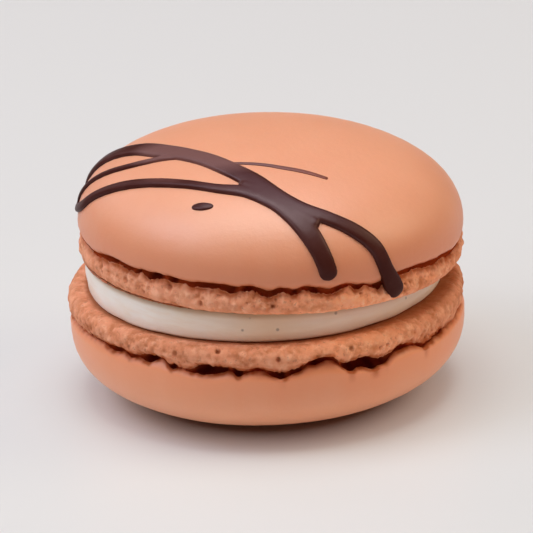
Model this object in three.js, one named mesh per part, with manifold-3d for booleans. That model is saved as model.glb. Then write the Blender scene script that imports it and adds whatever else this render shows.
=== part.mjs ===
// A French macaron: two domed almond shells with ruffled feet, cream between them,
// and dark chocolate drizzled over the upper shell.
// Millimetres, +Z up, front towards -Y. The origin is the middle of the flat spot that it rests on.

import * as THREE from 'three';
import Module from 'manifold-3d';

const wasm = await Module();
wasm.setup();

const degree = Math.PI / 180;

// Each shell is described from the cream outwards: height 0 is its flat face against the cream.
// A crack's front holds [angle in degrees, rise away from the cream, opening]; backCracks adds the rest.
const lowerShell = {
  radius: 23.28,
  domeHeight: 10.2,
  domeFullness: 2.76,
  flatRadius: 8.0,
  rimTuck: 0.6,
  footHeight: 3.06,
  footTuck: 0.45,
  footBulge: 0.49,
  footLean: 0.1,
  footLeanAngle: 195,
  footRound: 1.3,
  seed: 3,
  crackFront: [
    [190, -0.1, 0.06], [203, -0.4, 0.08], [213, -0.5, 0.12], [219, -0.38, 0.56], [223, -0.52, 0.23],
    [226, -0.25, 0.38],
    [229, -0.54, 0.15], [233, -0.62, 1.02], [235, -0.81, 0.6], [237, -0.98, 0.1], [239, -0.68, 0.26],
    [240.5, -0.12, 0.71], [242, -0.26, 0.3], [243, -0.13, 0.08], [246, -0.03, 0.08], [249, -0.14, 0.75],
    [251, -0.22, 1.2], [254, -0.3, 0.83], [257, -0.49, 0.71], [258.5, -0.67, 0.26], [260, -0.37, 0.71],
    [261.3, -0.12, 0.86], [262.5, -0.15, 0.3], [264, -0.29, 0.08], [266.5, -0.54, 0.38],
    [268.5, -0.4, 0.2], [271, -0.01, 0.6], [273.5, 0.31, 0.64], [275, 0.09, 0.3], [277, -0.26, 0.53],
    [279, -0.35, 0.53], [280.3, -0.7, 0.23], [281.5, -0.99, 0.41], [283, -0.83, 0.79],
    [285, -1.1, 0.64], [287, -1.29, 0.56], [288.6, -1.1, 0.45], [290, -0.58, 0.41], [291, -0.11, 0.26],
    [292.3, 0.06, 0.64], [294, 0.19, 1.09], [296, 0.01, 0.94], [298.3, 0.04, 1.28], [301, 0.56, 1.39],
    [303, 0.55, 0.75], [305, 0.53, 0.71], [307, 0.26, 0.45], [308.5, -0.12, 0.38], [311, -0.36, 0.56],
    [314, -0.41, 0.49], [316, -0.2, 0.15], [318.5, 0.14, 0.19], [320.3, 0.65, 0.41], [322.5, 0.53, 0.23],
    [325, 0.38, 0.38], [328, 0.17, 0.49], [331, 0.24, 0.38], [334, 0.24, 0.08],
    [352, 0.1, 0.06],
  ],
  backCracks: 48,
};
const upperShell = {
  radius: 22.6,
  domeHeight: 11.2,
  domeFullness: 2.24,
  flatRadius: 2.4,
  rimTuck: 0.6,
  footHeight: 3.1,
  footTuck: 0.5,
  footBulge: 0.42,
  footLean: 0.08,
  footLeanAngle: 350,
  footRound: 1.1,
  seed: 11,
  crackFront: [
    [190, 0.0, 0.06], [204, -0.3, 0.08], [211, 0.18, 0.34], [214, 0.18, 0.53], [217, 0.35, 0.23],
    [220, 0.22, 0.41],
    [222, 0.0, 0.34], [224, 0.07, 0.15], [225.5, -0.19, 0.53], [227, 0.2, 0.08], [229, 0.17, 0.34],
    [231, -0.15, 0.68], [233, 0.14, 0.71], [235, 0.18, 0.41], [236.5, 0.3, 0.08], [239, 0.3, 0.64],
    [241, 0.1, 0.23], [243.5, 0.11, 0.08], [245, -0.15, 0.26], [247, 0.18, 0.38], [250, 0.26, 0.45],
    [252, 0.19, 0.41], [253.5, 0.04, 0.34], [255, 0.17, 0.41], [258, -0.25, 0.53], [260, 0.1, 0.15],
    [262, 0.21, 0.53], [264, 0.31, 0.45], [266, -0.13, 0.45], [267.5, -0.45, 0.41], [269, -0.54, 0.41],
    [270.2, -0.15, 0.49], [271.5, 0.08, 0.45], [273, 0.13, 0.38], [275, -0.25, 0.3],
    [276.6, -0.67, 0.41], [277.6, -0.04, 0.15], [279, 0.17, 0.23], [281, 0.03, 0.5], [282.5, -0.17, 0.56],
    [284, -0.23, 0.3], [286, -0.57, 0.23], [288, -0.47, 0.19], [290, -0.03, 0.34], [292.5, 0.08, 0.1],
    [295.5, -0.5, 0.34], [298, -0.3, 0.08], [300, -0.59, 0.08], [302.5, -0.84, 0.41], [305, -0.45, 0.23],
    [309, 0.16, 0.23], [312, 0.17, 0.26], [315, 0.15, 0.23], [319, 0.12, 0.26], [323, -0.1, 0.34],
    [326, -0.27, 0.3], [331, -0.17, 0.19], [336, -0.43, 0.23], [342, -0.7, 0.08],
    [352, -0.2, 0.06],
  ],
  backCracks: 48,
};

const widestRise = 0.85;        // from the crack to the widest part of a dome
const crackFade = 1.6;          // height over which a dome's rim stops following its crack
const crackEven = 2;            // columns each side that the dome's rim averages the crack over
const crackDepth = 0.26;
const crackDepthPerOpening = 1.3;
const crackGroove = { least: 0.1, more: 0.22, openAt: 0.25 };   // added across a crack's opening
const crackFloor = 0.5;         // share of its opening that a crack keeps at its bottom
const backRise = 0.38;
const backOpening = { least: 0.08, spread: 0.8, skew: 1.6 };
const zigzag = 0.08;            // small teeth along a crack
const footGrain = 0.14;         // size of the bumps on a foot
const columns = 112;
const domeRows = 9;
const footRows = 4;
const roundRows = 3;
const rimSteps = [0.55, 1];     // from the widest part in to the crack's lip
const mostTucked = 1.15;        // where a tooth reaches past the even rim

// The upper shell sits a little askew on the cream.
const creamThickness = 3.3;
const upperPitch = -1.23;       // degrees about X: the front is higher
const upperRoll = 2.12;         // degrees about Y: the left is higher
const upperShift = 0.6;
const cream = {
  radius: 20.8, shift: -0.25, bulge: 0.25, edgeRound: 0.35, wave: 0.12, gap: 0.3, columns: 80, seed: 7,
};

// Chocolate strands on the dome laid out flat: [x, y, half width], where the distance from the
// middle is kept along the surface, so about 26 reaches the widest part.
const strands = [
  [[-26.2, 9.8, 1.0], [-23.6, 7.6, 1.15], [-20.6, 5.2, 1.3], [-17.6, 2.7, 1.38], [-15.0, 0.3, 1.38],
    [-12.6, -2.4, 1.4], [-9.9, -4.85, 1.32], [-7.4, -7.2, 1.25], [-4.7, -10.2, 1.3], [-2.1, -13.05, 1.3],
    [0.5, -16.0, 1.28], [3.2, -17.8, 1.1], [6.3, -18.65, 0.98], [9.3, -19.4, 0.95], [12.5, -20.45, 0.95],
    [15.2, -22.1, 0.95], [17.35, -23.0, 1.15], [19.3, -23.55, 1.22]],
  [[-25.9, 4.6, 0.3], [-26.1, 2.4, 0.38], [-25.9, 0.2, 0.45], [-25.2, -2.0, 0.55], [-23.9, -3.9, 0.62],
    [-22.0, -5.2, 0.62], [-19.6, -6.65, 0.68], [-16.4, -8.4, 0.72], [-13.0, -10.3, 0.68],
    [-9.6, -12.15, 0.64], [-6.3, -13.85, 0.66], [-2.7, -15.05, 0.98], [0.3, -16.95, 1.15],
    [2.4, -18.95, 1.2], [4.3, -21.1, 1.2], [5.8, -23.1, 1.1], [6.9, -24.7, 1.08], [7.7, -26.0, 1.1]],
  [[-3.9, -13.25, 0.3], [-2.6, -14.05, 0.75], [0.3, -16.3, 1.1], [2.6, -18.3, 1.1], [4.2, -19.3, 0.9],
    [5.4, -20.0, 0.6]],
  [[-26.0, 2.6, 0.35], [-23.1, 0.3, 0.4], [-19.3, -2.15, 0.42], [-17.0, -3.4, 0.42],
    [-14.7, -4.15, 0.43], [-12.6, -4.6, 0.43], [-10.9, -5.2, 0.35]],
];
const flecks = [
  [[-5.2, -8.5, 0.2], [-3.4, -8.75, 0.25], [-1.0, -9.3, 0.3], [1.4, -10.1, 0.34], [3.8, -10.8, 0.34],
    [6.4, -11.8, 0.26]],
  [[-9.45, -16.15, 0.16], [-9.1, -16.22, 0.4], [-8.2, -16.42, 0.56], [-7.3, -16.6, 0.4], [-6.9, -16.68, 0.16]],
];
const strandHeight = 0.5;       // the most that a strand stands above the dome
const strandHeightPerWidth = 0.9;
const fleckHeightPerWidth = 0.45;
const strandDepth = 0.8;        // how far a strand reaches into the shell
const strandStep = 2.2;
const strandSection = [[1, 0.1], [0.86, 0.65], [0.48, 0.95], [-0.48, 0.95], [-0.86, 0.65], [-1, 0.1]];
const strandEnd = [0.03, 0.15, 0.45, 1];  // stations at a round end, in half widths from its tip

const lowerTop = lowerShell.domeHeight + lowerShell.footHeight;
const upperBase = lowerTop + creamThickness;

// A repeatable number from 0 to 1 for each pair of whole numbers and seed.
function scatter(i, j, seed) {
  const s = Math.sin(i * 12.9898 + j * 78.233 + seed * 37.719) * 43758.5453;
  return s - Math.floor(s);
}

// The crack's knots all the way round: the front ones, then evenly spaced ones with scattered values.
function crackKnots(shell) {
  const knots = shell.crackFront.map((knot) => [...knot]);
  const first = knots[0][0];
  const last = knots[knots.length - 1][0];
  const step = (first + 360 - last) / (shell.backCracks + 1);
  for (let k = 1; k <= shell.backCracks; k += 1) {
    const rise = (2 * scatter(k, 1, shell.seed) - 1) * backRise;
    const opening = backOpening.least + backOpening.spread * scatter(k, 2, shell.seed) ** backOpening.skew;
    knots.push([last + step * k, rise, opening]);
  }
  knots.push([first + 360, knots[0][1], knots[0][2]]);
  return knots;
}

// Rise and opening of the crack at an angle, eased between two knots.
function crackAt(knots, angle) {
  const turned = angle < knots[0][0] ? angle + 360 : angle;
  const after = knots.findIndex((knot) => knot[0] > turned);
  const [a, b] = [knots[after - 1], knots[after]];
  const straight = (turned - a[0]) / (b[0] - a[0]);
  const share = straight * straight * (3 - 2 * straight);
  return { rise: a[1] + (b[1] - a[1]) * share, opening: a[2] + (b[2] - a[2]) * share };
}

// Radius and height on a shell's plain dome: t is 0 at the widest part and 90 degrees at the top.
function domePoint(shell, t) {
  const power = 2 / shell.domeFullness;
  const height = shell.domeHeight - widestRise;
  const flatT = Math.acos((shell.flatRadius / shell.radius) ** (1 / power));
  const full = Math.sin(flatT) ** power;
  return {
    radius: shell.radius * Math.cos(t) ** power,
    height: shell.footHeight + widestRise + height * Math.min(1, Math.sin(t) ** power / full),
    flatT,
  };
}

// The crack's middle, opening and half width for every column of a shell.
function crackColumns(shell) {
  const knots = crackKnots(shell);
  return Array.from({ length: columns }, (_, column) => {
    const { rise, opening } = crackAt(knots, (column / columns) * 360);
    const middle = shell.footHeight + rise + (2 * scatter(column, 0, shell.seed) - 1) * zigzag;
    const eased = THREE.MathUtils.smoothstep(opening, 0, crackGroove.openAt);
    const half = Math.hypot(opening, crackGroove.least + crackGroove.more * eased) / 2;
    return { middle, opening, half, lip: middle + half };
  });
}

// The dome's side down to the crack's upper lip. Its rim follows the crack on the whole, and the
// crack's teeth cut that even rim.
function domeSide(shell, lip, evenLip) {
  const { flatT } = domePoint(shell, 0);
  const lift = evenLip - shell.footHeight;
  const follow = (height) => height + lift * Math.exp(-(height - shell.footHeight) / crackFade);
  const rows = [];
  for (let k = 0; k <= domeRows; k += 1) {
    const { radius, height } = domePoint(shell, flatT * (1 - k / domeRows));
    rows.push([radius, k === 0 ? height : follow(height)]);
  }
  for (const share of rimSteps) {
    const height = shell.footHeight + widestRise * (1 - share);
    const tooth = (lip - evenLip) * share * share;
    const down = Math.min(Math.max(share - tooth / widestRise, 0), mostTucked);
    rows.push([shell.radius - shell.rimTuck * down * down, follow(height) + tooth]);
  }
  return rows;
}

// The foot's side from the crack's lower lip to the flat base: it bulges out, then turns in round.
function footSide(shell, lip, angle, column) {
  const bulge = shell.footBulge + shell.footLean * Math.cos((angle - shell.footLeanAngle) * degree);
  const tucked = shell.radius - shell.footTuck;
  const round = shell.footRound;
  const grainAt = (row) => (2 * scatter(column, row, shell.seed) - 1) * footGrain;
  const rows = [];
  for (let k = 0; k < footRows; k += 1) {
    const down = k / (footRows - 1);
    const out = bulge * Math.sin(down * 90 * degree) + grainAt(k + 1);
    rows.push([tucked + out, lip + (round - lip) * down]);
  }
  for (let k = 1; k <= roundRows; k += 1) {
    const turn = (k / roundRows) * 90 * degree;
    const grain = (grainAt(k + footRows) / 2) * Math.cos(turn);
    rows.push([tucked + bulge + grain - round * (1 - Math.cos(turn)), round * (1 - Math.sin(turn))]);
  }
  return rows;
}

// One column of a shell, from the edge of its flat top down to its base: a list of [radius, height].
function shellColumn(shell, cracks, column) {
  const { middle, opening, half, lip } = cracks[column];
  const depth = crackDepth + crackDepthPerOpening * opening;
  let evenLip = 0;
  for (let k = -crackEven; k <= crackEven; k += 1) {
    evenLip += cracks[(column + k + columns) % columns].lip / (2 * crackEven + 1);
  }
  return [
    ...domeSide(shell, lip, evenLip),
    [shell.radius - shell.rimTuck - depth, middle + half * crackFloor],
    [shell.radius - shell.footTuck - depth, middle - half * crackFloor],
    ...footSide(shell, middle - half, (column / columns) * 360, column),
  ];
}

// Closes columns of points into one skin: rows run from the top down, and a fan ends each side.
// The diagonals alternate, so that no slant shows in the bumps.
function closedSkin(grid, top, base) {
  const across = grid.length;
  const down = grid[0].length;
  const points = [top, base];
  const faces = [];
  const at = (column, row) => 2 + (column % across) * down + row;
  for (let c = 0; c < across; c += 1) {
    points.push(...grid[c]);
    for (let r = 0; r < down - 1; r += 1) {
      const [a, b, d, e] = [at(c, r), at(c, r + 1), at(c + 1, r + 1), at(c + 1, r)];
      const halves = (c + r) % 2 === 0 ? [[a, b, d], [a, d, e]] : [[a, b, e], [b, d, e]];
      faces.push(...halves);
    }
    faces.push([0, at(c, 0), at(c + 1, 0)]);
    faces.push([1, at(c + 1, down - 1), at(c, down - 1)]);
  }
  return { points, faces };
}

function shellSkin(shell) {
  const cracks = crackColumns(shell);
  const grid = [];
  for (let column = 0; column < columns; column += 1) {
    const angle = (column / columns) * 360 * degree;
    grid.push(shellColumn(shell, cracks, column).map(
      ([radius, height]) => [radius * Math.cos(angle), radius * Math.sin(angle), height],
    ));
  }
  return closedSkin(grid, [0, 0, shell.footHeight + shell.domeHeight], [0, 0, 0]);
}

// Turns a shell dome side down, with its faces still pointing out.
function upsideDown(skin, height) {
  return {
    points: skin.points.map(([x, y, z]) => [x, y, height - z]),
    faces: skin.faces.map(([a, b, c]) => [a, c, b]),
  };
}

// Outline of the upper dome with the distance along it from the top, going straight down past the rim.
function domeOutline(shell) {
  const steps = 160;
  const outline = [{ radius: 0, height: shell.footHeight + shell.domeHeight, along: 0 }];
  for (let k = 0; k <= steps; k += 1) {
    const { flatT } = domePoint(shell, 0);
    const { radius, height } = domePoint(shell, flatT * (1 - k / steps));
    const last = outline[outline.length - 1];
    const along = last.along + Math.hypot(radius - last.radius, height - last.height);
    outline.push({ radius, height, along });
  }
  const rim = outline[outline.length - 1];
  outline.push({ radius: rim.radius, height: 0, along: rim.along + rim.height });
  return outline;
}

// The place on the dome of a point of the flat layout, and the way out of the dome there.
function onDome(outline, x, y) {
  const along = Math.hypot(x, y);
  const after = Math.max(1, outline.findIndex((point) => point.along > along));
  const [a, b] = [outline[after - 1], outline[after]];
  const share = (along - a.along) / (b.along - a.along);
  const radius = a.radius + (b.radius - a.radius) * share;
  const [cos, sin] = [x / along, y / along];
  const slope = new THREE.Vector2(a.height - b.height, b.radius - a.radius).normalize();
  return {
    place: new THREE.Vector3(radius * cos, radius * sin, a.height + (b.height - a.height) * share),
    out: new THREE.Vector3(slope.x * cos, slope.x * sin, slope.y),
  };
}

// A strand: its section is carried along the curve, square to it, and shrinks round at both ends.
function strandSkin(outline, knots, heightPerWidth) {
  const curve = new THREE.CatmullRomCurve3(
    knots.map(([x, y, halfWidth]) => new THREE.Vector3(x, y, halfWidth)), false, 'catmullrom',
  );
  const length = curve.getLength();
  const ends = [knots[0][2], knots[knots.length - 1][2]];
  const stations = strandEnd.map((share) => share * ends[0]);
  const middle = Math.max(1, Math.round((length - ends[0] - ends[1]) / strandStep));
  for (let k = 1; k < middle; k += 1) {
    stations.push(ends[0] + ((length - ends[0] - ends[1]) * k) / middle);
  }
  stations.push(...strandEnd.map((share) => length - share * ends[1]).reverse());

  const rings = stations.map((distance) => {
    const flat = curve.getPointAt(distance / length);
    const ahead = curve.getPointAt(Math.min(1, (distance + 0.02) / length));
    const behind = curve.getPointAt(Math.max(0, (distance - 0.02) / length));
    const { place, out } = onDome(outline, flat.x, flat.y);
    const forward = onDome(outline, ahead.x, ahead.y).place.sub(onDome(outline, behind.x, behind.y).place);
    const across = new THREE.Vector3().crossVectors(out, forward).normalize();
    const tip = Math.min(1, Math.min(distance / ends[0], (length - distance) / ends[1]));
    const shrink = Math.sqrt(1 - (1 - tip) ** 2);
    const halfWidth = flat.z * shrink;
    const height = Math.min(strandHeight, heightPerWidth * flat.z) * shrink;
    const section = [...strandSection.map(([a, b]) => [a * halfWidth, b * height]),
      [-halfWidth, -strandDepth], [halfWidth, -strandDepth]];
    return section.map(([a, b]) => place.clone().addScaledVector(across, a).addScaledVector(out, b).toArray());
  });
  return sweptSkin(rings);
}

// Joins rings of points, one after the other, into one closed skin.
function sweptSkin(rings) {
  const around = rings[0].length;
  const middleOf = (ring) => [0, 1, 2].map((axis) => ring.reduce((sum, p) => sum + p[axis], 0) / around);
  const last = rings.length - 1;
  const points = [middleOf(rings[0]), middleOf(rings[last]), ...rings.flat()];
  const at = (ring, k) => 2 + ring * around + (k % around);
  const faces = [];
  for (let k = 0; k < around; k += 1) {
    faces.push([0, at(0, k + 1), at(0, k)]);
    faces.push([1, at(last, k), at(last, k + 1)]);
    for (let ring = 0; ring < last; ring += 1) {
      faces.push([at(ring, k), at(ring, k + 1), at(ring + 1, k + 1)]);
      faces.push([at(ring, k), at(ring + 1, k + 1), at(ring + 1, k)]);
    }
  }
  return { points, faces };
}

// The cream: flat on the lower shell, its top level with the upper shell's slanted base.
function creamSkin() {
  const { radius, shift, bulge, edgeRound, wave, gap, seed } = cream;
  const tilt = new THREE.Matrix4().makeRotationFromEuler(
    new THREE.Euler(upperPitch * degree, upperRoll * degree, 0, 'YXZ'),
  );
  const up = new THREE.Vector3(0, 0, 1).applyMatrix4(tilt);
  const topAt = (x, y) => creamThickness - gap - (up.x * (x - upperShift) + up.y * y) / up.z;
  const grid = [];
  for (let column = 0; column < cream.columns; column += 1) {
    const angle = (column / cream.columns) * 360 * degree;
    const wobble = wave * (Math.sin(3 * angle + seed) + Math.sin(5 * angle + 2 * seed)) / 2;
    const rim = radius + wobble;
    const top = topAt(shift + rim * Math.cos(angle), rim * Math.sin(angle));
    const rows = [
      [rim - edgeRound, top], [rim, top - edgeRound], [rim + bulge, top / 2], [rim, edgeRound],
      [rim - edgeRound, 0],
    ];
    grid.push(rows.map(([r, h], row) => {
      const [x, y] = [shift + r * Math.cos(angle), r * Math.sin(angle)];
      return [x, y, lowerTop + (row === 0 ? topAt(x, y) : h)];
    }));
  }
  return closedSkin(grid, [shift, 0, lowerTop + topAt(shift, 0)], [shift, 0, lowerTop]);
}

function solidOf(skin) {
  return new wasm.Manifold(new wasm.Mesh({
    numProp: 3,
    vertProperties: new Float32Array(skin.points.flat()),
    triVerts: new Uint32Array(skin.faces.flat()),
  }));
}

function geometryOf(positions, indices) {
  const geometry = new THREE.BufferGeometry();
  geometry.setAttribute('position', new THREE.BufferAttribute(new Float32Array(positions), 3));
  geometry.setIndex(new THREE.BufferAttribute(new Uint32Array(indices), 1));
  geometry.computeVertexNormals();
  return geometry;
}

function skinMesh(name, skin, material) {
  const mesh = new THREE.Mesh(geometryOf(skin.points.flat(), skin.faces.flat()), material);
  mesh.name = name;
  return mesh;
}

function upperShellMesh(material) {
  const outline = domeOutline(upperShell);
  let solid = solidOf(shellSkin(upperShell));
  for (const knots of strands) {
    solid = solid.add(solidOf(strandSkin(outline, knots, strandHeightPerWidth)));
  }
  for (const knots of flecks) {
    solid = solid.add(solidOf(strandSkin(outline, knots, fleckHeightPerWidth)));
  }
  const { vertProperties, triVerts } = solid.getMesh();
  const mesh = new THREE.Mesh(geometryOf(vertProperties, triVerts), material);
  mesh.name = 'upper_shell';
  mesh.position.set(upperShift, 0, upperBase);
  mesh.rotation.set(upperPitch * degree, upperRoll * degree, 0, 'YXZ');
  return mesh;
}

const crust = new THREE.MeshStandardMaterial({ name: 'crust', color: 0xdf9770, roughness: 0.6, metalness: 0 });
const butter = new THREE.MeshStandardMaterial({ name: 'cream', color: 0xe9dccb, roughness: 0.5, metalness: 0 });

const macaron = new THREE.Group();
macaron.add(
  skinMesh('lower_shell', upsideDown(shellSkin(lowerShell), lowerTop), crust),
  skinMesh('filling', creamSkin(), butter),
  upperShellMesh(crust),
);

export default macaron;
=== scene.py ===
# A french macaron: baked almond shells, cream and a dark chocolate drizzle, seen from a little above.
import math

import bpy
import numpy as np
from mathutils import Matrix, Vector


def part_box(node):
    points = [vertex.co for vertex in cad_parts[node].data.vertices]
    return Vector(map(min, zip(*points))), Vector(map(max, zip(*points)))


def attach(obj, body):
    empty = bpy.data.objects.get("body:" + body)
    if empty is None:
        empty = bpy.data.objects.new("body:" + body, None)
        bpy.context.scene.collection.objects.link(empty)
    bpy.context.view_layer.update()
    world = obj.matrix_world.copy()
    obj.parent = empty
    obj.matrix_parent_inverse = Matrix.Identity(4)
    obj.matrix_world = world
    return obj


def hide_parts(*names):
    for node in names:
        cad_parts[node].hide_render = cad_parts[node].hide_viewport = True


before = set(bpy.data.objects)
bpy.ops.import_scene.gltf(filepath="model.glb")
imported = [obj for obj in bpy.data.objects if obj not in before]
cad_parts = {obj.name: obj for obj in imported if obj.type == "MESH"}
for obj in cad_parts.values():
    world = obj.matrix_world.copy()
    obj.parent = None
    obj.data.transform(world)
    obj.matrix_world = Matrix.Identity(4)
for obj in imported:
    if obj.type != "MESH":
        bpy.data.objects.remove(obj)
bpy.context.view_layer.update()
mm = 0.001
print("frame loaded:", sorted(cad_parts))

# The cream's underside is the height at which the lower shell ends.
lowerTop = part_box("filling")[0].z / mm


# Camera: it stands where the photo's stood and is zoomed in on the macaron.
view = {
    "elevation": 21.1,       # degrees above the macaron's own level
    "roll": -2.1,            # degrees, the macaron's right side a little higher
    "distance": 503.4,       # mm from the pivot
    "pivot": (-0.25, 0.0, 15.0),
    "aim": (0.08, 0.0, 14.5),
    "lens": 74.03,           # mm, for the whole photo
    "sensor": 36,            # mm
    "zoom": 3.9,
    "clipStart": 0.01,       # m
}


def newObject(name, data):
    thing = bpy.data.objects.new(name, data)
    bpy.context.scene.collection.objects.link(thing)
    return thing


def makeCamera(view):
    # back points from the macaron to the camera; right and up are turned by the roll about it
    elevation = math.radians(view["elevation"])
    roll = math.radians(view["roll"])
    out = Vector((0, -math.cos(elevation), math.sin(elevation)))
    eye = Vector(view["pivot"]) + out * view["distance"]
    back = (eye - Vector(view["aim"])).normalized()
    right = Vector((0, 1, 0)).cross(Vector((0, 0, 1))).normalized()
    right = (right - back * right.dot(back)).normalized()
    up = back.cross(right)
    turnedRight = right * math.cos(roll) + up * math.sin(roll)
    turnedUp = back.cross(turnedRight)
    data = bpy.data.cameras.new("camera")
    data.lens = view["lens"] * view["zoom"]
    data.sensor_width = view["sensor"]
    data.clip_start = view["clipStart"]
    camera = newObject("camera", data)
    axes = Matrix((turnedRight, turnedUp, back)).transposed().to_4x4()
    camera.matrix_world = Matrix.Translation(eye * mm) @ axes
    bpy.context.scene.camera = camera


makeCamera(view)
print("camera placed")


# Shells. Heights in a shell count from the cream outwards, in mm; angles are in degrees, 270 at the front.
# crackFront holds [angle, rise away from the cream, opening], and the rest of the crack is scattered.
# marks holds the front's pores and lumps: [angle, height, radius, how far out, how dark].
# how dark is painted shade in a pore, and below zero a painted highlight on a lump
lowerShell = {
    "piece": "lower_shell_baked", "node": "lower_shell", "domeDown": True, "seed": 3, "shift": 0,
    "radius": 23.28, "domeHeight": 10.2, "domeFullness": 2.76, "flatRadius": 8.0,
    "footHeight": 3.06, "footTuck": 0.45, "footBulge": 0.49, "footLean": 0.1, "footLeanAngle": 195,
    "footRound": 1.3, "ragged": 1.0, "tone": (1.22, 1.26, 1.22, 1), "footTone": (0.80, 0.75, 0.74, 1),
    "crackFront": [
        [190, -0.1, 0.06], [203, -0.4, 0.08], [213, -0.5, 0.12], [219, -0.38, 0.56],
        [223, -0.52, 0.23], [226, -0.25, 0.38], [229, -0.54, 0.15], [233, -0.62, 1.02],
        [235, -0.81, 0.6], [237, -0.98, 0.1], [239, -0.68, 0.26], [240.5, -0.12, 0.71],
        [242, -0.26, 0.3], [243, -0.13, 0.08], [246, -0.03, 0.08], [249, -0.14, 0.75],
        [251, -0.22, 1.2], [254, -0.3, 0.83], [257, -0.49, 0.71], [258.5, -0.67, 0.26],
        [260, -0.37, 0.71], [261.3, -0.12, 0.86], [262.5, -0.15, 0.3], [264, -0.29, 0.08],
        [266.5, -0.54, 0.38], [268.5, -0.4, 0.2], [271, -0.01, 0.6], [273.5, 0.31, 0.64],
        [275, 0.09, 0.3], [277, -0.26, 0.53], [279, -0.35, 0.53], [280.3, -0.7, 0.23],
        [281.5, -0.99, 0.41], [283, -0.83, 0.79], [285, -1.1, 0.64], [287, -1.29, 0.56],
        [288.6, -1.1, 0.45], [290, -0.58, 0.41], [291, -0.11, 0.26], [292.3, 0.06, 0.64],
        [294, 0.19, 1.09], [296, 0.01, 0.94], [298.3, 0.04, 1.28], [301, 0.56, 1.39],
        [303, 0.55, 0.75], [305, 0.53, 0.71], [307, 0.26, 0.45], [308.5, -0.12, 0.38],
        [311, -0.36, 0.56], [314, -0.41, 0.49], [316, -0.2, 0.15], [318.5, 0.14, 0.19],
        [320.3, 0.65, 0.41], [322.5, 0.53, 0.23], [325, 0.38, 0.38], [328, 0.17, 0.49],
        [331, 0.24, 0.38], [334, 0.24, 0.08], [352, 0.1, 0.06]],
    "marks": [
        [242.7, 0.81, 0.38, -0.2, 0.9], [255.2, 0.27, 0.38, -0.35, 1.5],
        [272.6, 1.01, 0.38, -0.32, 1.3], [293.8, 0.88, 0.4, -0.22, 1.0], [213, 1.78, 0.3, -0.1, 0.5],
        [218.9, 1.23, 0.46, 0.17, -0.6], [232, 0.9, 0.3, 0.08, -0.3], [310, 1.5, 0.3, 0.08, -0.35],
        [263.5, 1.9, 0.35, -0.1, 0.25], [284, 1.2, 0.3, -0.08, 0.25]],
}
upperShell = {
    "piece": "upper_shell_baked", "node": "upper_shell", "domeDown": False, "seed": 11, "shift": 0.6,
    "radius": 22.6, "domeHeight": 11.2, "domeFullness": 2.24, "flatRadius": 2.4,
    "footHeight": 3.1, "footTuck": 0.5, "footBulge": 0.42, "footLean": 0.08, "footLeanAngle": 350,
    # the upper foot's lighter footTone is painted light on a foot that the rim above shades
    "footRound": 1.1, "ragged": 1.15, "tone": (1.0, 1.0, 1.0, 1), "footTone": (1.10, 1.10, 1.09, 1),
    "crackFront": [
        [190, 0.0, 0.06], [204, -0.3, 0.08], [211, 0.18, 0.34], [214, 0.18, 0.53], [217, 0.35, 0.23],
        [220, 0.22, 0.41], [222, 0.0, 0.34], [224, 0.07, 0.15], [225.5, -0.19, 0.53], [227, 0.2, 0.08],
        [229, 0.17, 0.34], [231, -0.15, 0.68], [233, 0.14, 0.71], [235, 0.18, 0.41],
        [236.5, 0.3, 0.08], [239, 0.3, 0.64], [241, 0.1, 0.23], [243.5, 0.11, 0.08],
        [245, -0.15, 0.26], [247, 0.18, 0.38], [250, 0.26, 0.45], [252, 0.19, 0.41],
        [253.5, 0.04, 0.34], [255, 0.17, 0.41], [258, -0.25, 0.53], [260, 0.1, 0.15],
        [262, 0.21, 0.53], [264, 0.31, 0.45], [266, -0.13, 0.45], [267.5, -0.45, 0.41],
        [269, -0.54, 0.41], [270.2, -0.15, 0.49], [271.5, 0.08, 0.45], [273, 0.13, 0.38],
        [275, -0.25, 0.3], [276.6, -0.67, 0.41], [277.6, -0.04, 0.15], [279, 0.17, 0.23],
        [281, 0.03, 0.5], [282.5, -0.17, 0.56], [284, -0.23, 0.3], [286, -0.57, 0.23],
        [288, -0.47, 0.19], [290, -0.03, 0.34], [292.5, 0.08, 0.1], [295.5, -0.5, 0.34],
        [298, -0.3, 0.08], [300, -0.59, 0.08], [302.5, -0.84, 0.41], [305, -0.45, 0.23],
        [309, 0.16, 0.23], [312, 0.17, 0.26], [315, 0.15, 0.23], [319, 0.12, 0.26], [323, -0.1, 0.34],
        [326, -0.27, 0.3], [331, -0.17, 0.19], [336, -0.43, 0.23], [342, -0.7, 0.08], [352, -0.2, 0.06]],
    "marks": [
        [248.7, 1.14, 0.34, -0.25, 0.75], [238.5, 2.18, 0.42, -0.14, 0.5],
        [221.9, 1.76, 0.42, -0.14, 0.5], [270, 1.22, 0.28, -0.2, 0.6], [252.1, 2.62, 0.3, -0.14, 0.5],
        [276.3, 2.42, 0.28, -0.14, 0.5], [244.5, 1.9, 0.32, 0.1, -0.4], [233, 1.6, 0.4, 0.08, -0.35],
        [259, 1.5, 0.3, 0.08, -0.35], [310, 1.6, 0.32, -0.1, 0.3]],
}
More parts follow.
